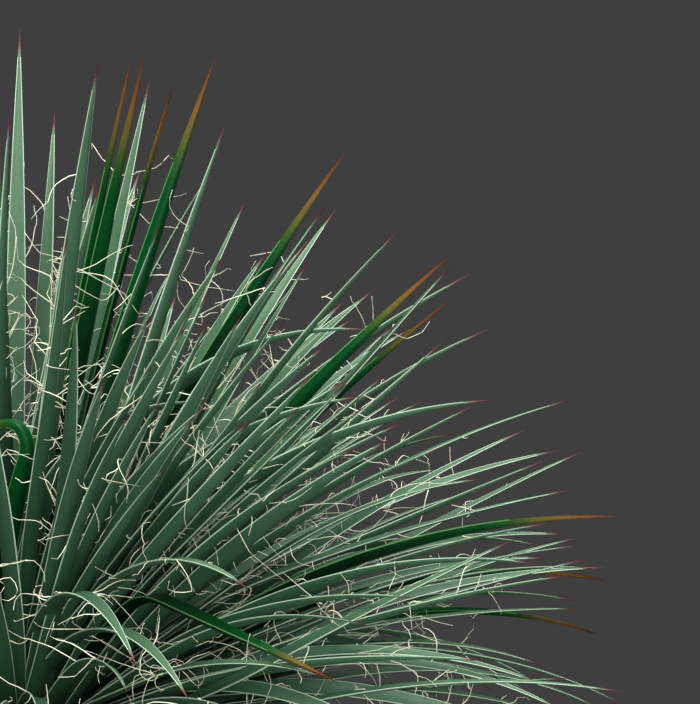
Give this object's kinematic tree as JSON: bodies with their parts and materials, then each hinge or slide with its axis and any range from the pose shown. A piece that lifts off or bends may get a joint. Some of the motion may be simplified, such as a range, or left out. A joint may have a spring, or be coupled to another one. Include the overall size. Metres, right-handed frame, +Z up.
{
  "type": "twin-flowered agave",
  "caption": "Half-round rosette of narrow arching leaves with pale threads along their margins and dark spine tips, on a short stout stem rooted in the ground.",
  "frame": {"origin": "middle of the flat cut under the stem, at ground level", "axes": "+Z up along the stem; +X towards the right of the picture; -Y towards its viewer"},
  "size_m": [0.9368, 0.9785, 0.6076],
  "materials": {
    "leaf": "waxy grey-green leaf with pale horny margins",
    "stem": "rough brown-grey stem ringed by old leaf scars"
  },
  "bodies": {
    "root": {"stem": "stem", "leaves_heart": "leaf", "leaves_crown_01": "leaf", "leaves_crown_02": "leaf", "leaves_crown_03": "leaf", "leaves_crown_04": "leaf", "leaves_crown_05": "leaf", "leaves_crown_06": "leaf", "leaves_crown_07": "leaf", "leaves_crown_08": "leaf", "leaves_upper_01": "leaf", "leaves_upper_02": "leaf", "leaves_upper_03": "leaf", "leaves_upper_04": "leaf", "leaves_upper_05": "leaf", "leaves_upper_06": "leaf", "leaves_upper_07": "leaf", "leaves_upper_08": "leaf", "leaves_upper_09": "leaf", "leaves_upper_10": "leaf", "leaves_middle_01": "leaf", "leaves_middle_02": "leaf", "leaves_middle_03": "leaf", "leaves_middle_04": "leaf", "leaves_middle_05": "leaf", "leaves_middle_06": "leaf", "leaves_middle_07": "leaf", "leaves_middle_08": "leaf", "leaves_middle_09": "leaf", "leaves_middle_10": "leaf", "leaves_middle_11": "leaf", "leaves_middle_12": "leaf", "leaves_lower_01": "leaf", "leaves_lower_02": "leaf", "leaves_lower_03": "leaf", "leaves_lower_04": "leaf", "leaves_lower_05": "leaf", "leaves_lower_06": "leaf", "leaves_lower_07": "leaf", "leaves_lower_08": "leaf", "leaves_lower_09": "leaf", "leaves_lower_10": "leaf", "leaves_lower_11": "leaf", "leaves_lower_12": "leaf", "leaves_lower_13": "leaf", "leaves_skirt_01": "leaf", "leaves_skirt_02": "leaf", "leaves_skirt_03": "leaf", "leaves_skirt_04": "leaf", "leaves_skirt_05": "leaf", "leaves_skirt_06": "leaf", "leaves_skirt_07": "leaf", "leaves_skirt_08": "leaf", "leaves_skirt_09": "leaf", "leaves_skirt_10": "leaf", "leaves_skirt_11": "leaf", "leaves_skirt_12": "leaf", "leaves_skirt_13": "leaf"}
  },
  "joints": []
}
